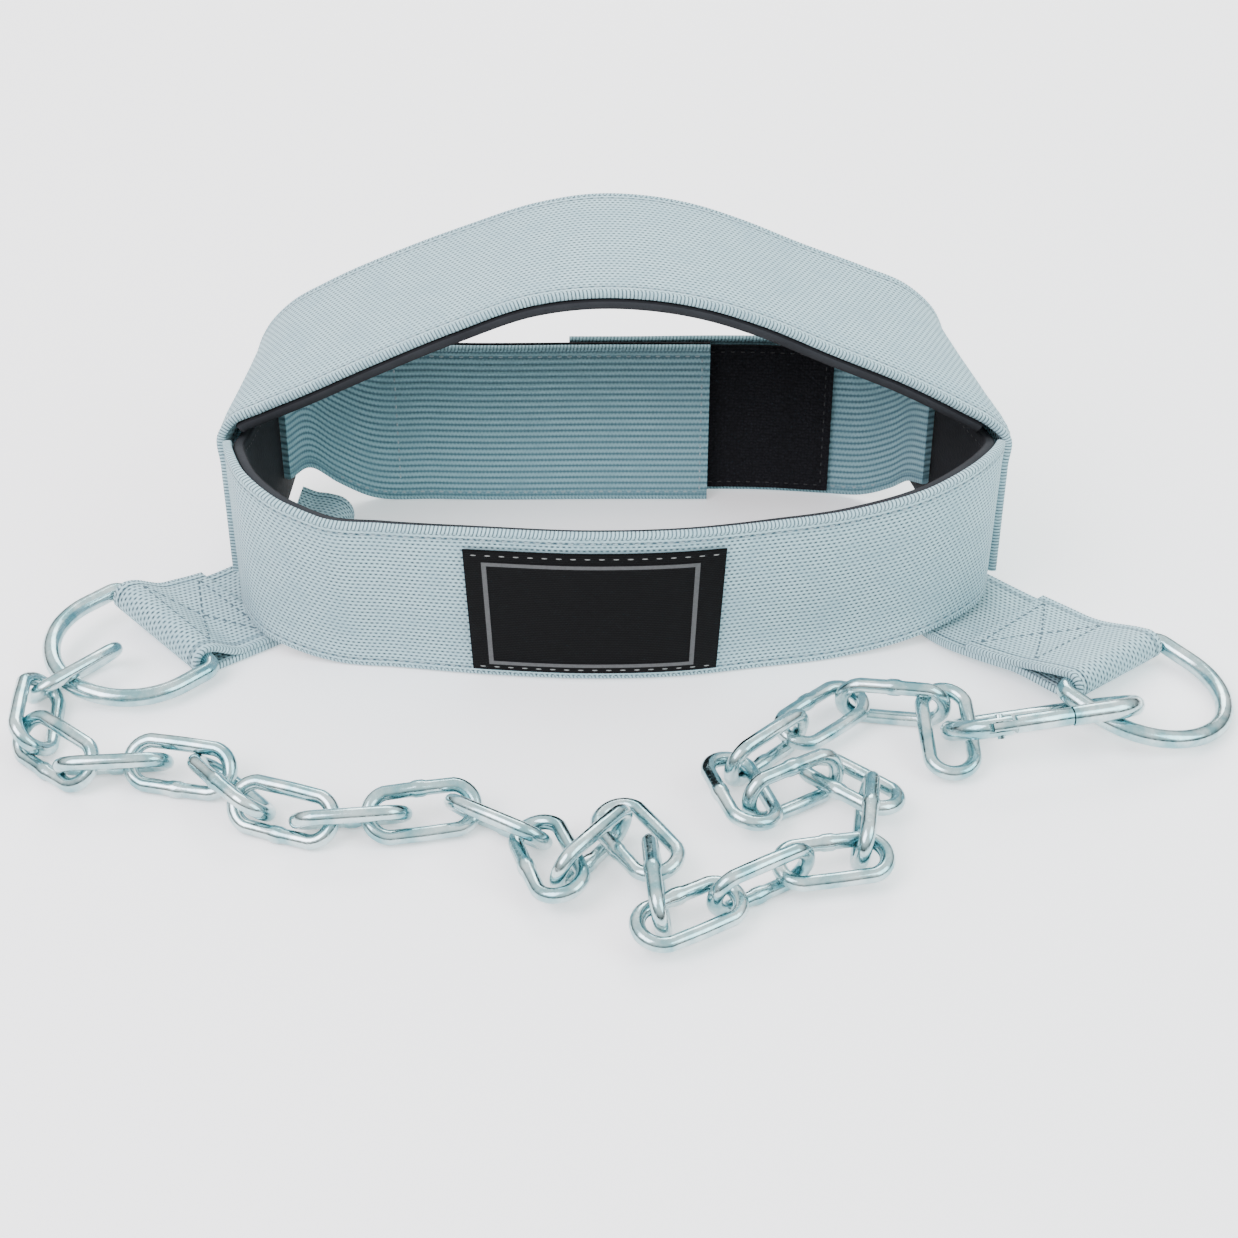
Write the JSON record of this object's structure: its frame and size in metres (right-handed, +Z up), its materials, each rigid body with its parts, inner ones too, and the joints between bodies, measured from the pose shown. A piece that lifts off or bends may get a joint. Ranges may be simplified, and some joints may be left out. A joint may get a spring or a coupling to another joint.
{
  "type": "neck training harness",
  "caption": "webbing head harness with a padded forehead band, a crown band and a fastened back strap, two side rings and a chain between them that ends in a snap hook",
  "frame": {"origin": "middle of the bottom of the bounding box, on the surface that the harness lies on", "axes": "+X from the wearer's side on the picture's left to the one on its right, +Y from the forehead band to the back strap, +Z up"},
  "size_m": [0.361, 0.2386, 0.1136],
  "materials": {
    "webbing": "matt woven webbing",
    "lining": "matt foam rubber",
    "label": "matt woven",
    "fastener": "hook and loop pile",
    "zinc": "bright zinc plating"
  },
  "bodies": {
    "harness": {"front_band": "webbing", "front_lining": "lining", "crown_band": "webbing", "crown_lining": "lining", "back_strap_left": "webbing", "back_strap_right": "webbing", "loop_backing": "fastener", "hook_patch": "fastener", "label": "label", "tab_left": "webbing", "tab_right": "webbing", "d_ring_left": "zinc", "d_ring_right": "zinc", "chain_link_01": "zinc", "chain_link_02": "zinc", "chain_link_03": "zinc", "chain_link_04": "zinc", "chain_link_05": "zinc", "chain_link_06": "zinc", "chain_link_07": "zinc", "chain_link_08": "zinc", "chain_link_09": "zinc", "chain_link_10": "zinc", "chain_link_11": "zinc", "chain_link_12": "zinc", "chain_link_13": "zinc", "chain_link_14": "zinc", "chain_link_15": "zinc", "chain_link_16": "zinc", "chain_link_17": "zinc", "chain_link_18": "zinc", "chain_link_19": "zinc", "chain_link_20": "zinc", "chain_link_21": "zinc", "chain_link_22": "zinc", "chain_link_23": "zinc", "chain_link_24": "zinc", "chain_link_25": "zinc", "snap_hook": "zinc"},
    "gate": {"snap_hook_gate": "zinc"}
  },
  "joints": [
    {"name": "snap_hook_gate_hinge", "type": "hinge", "parent": "harness", "child": "gate", "pos_m": [0.10734, -0.03666, 0.01571], "axis": [-0.1322, 0.5727, 0.809], "range_deg": [0, 20], "stiffness_Nm_per_rad": 0.05}
  ]
}
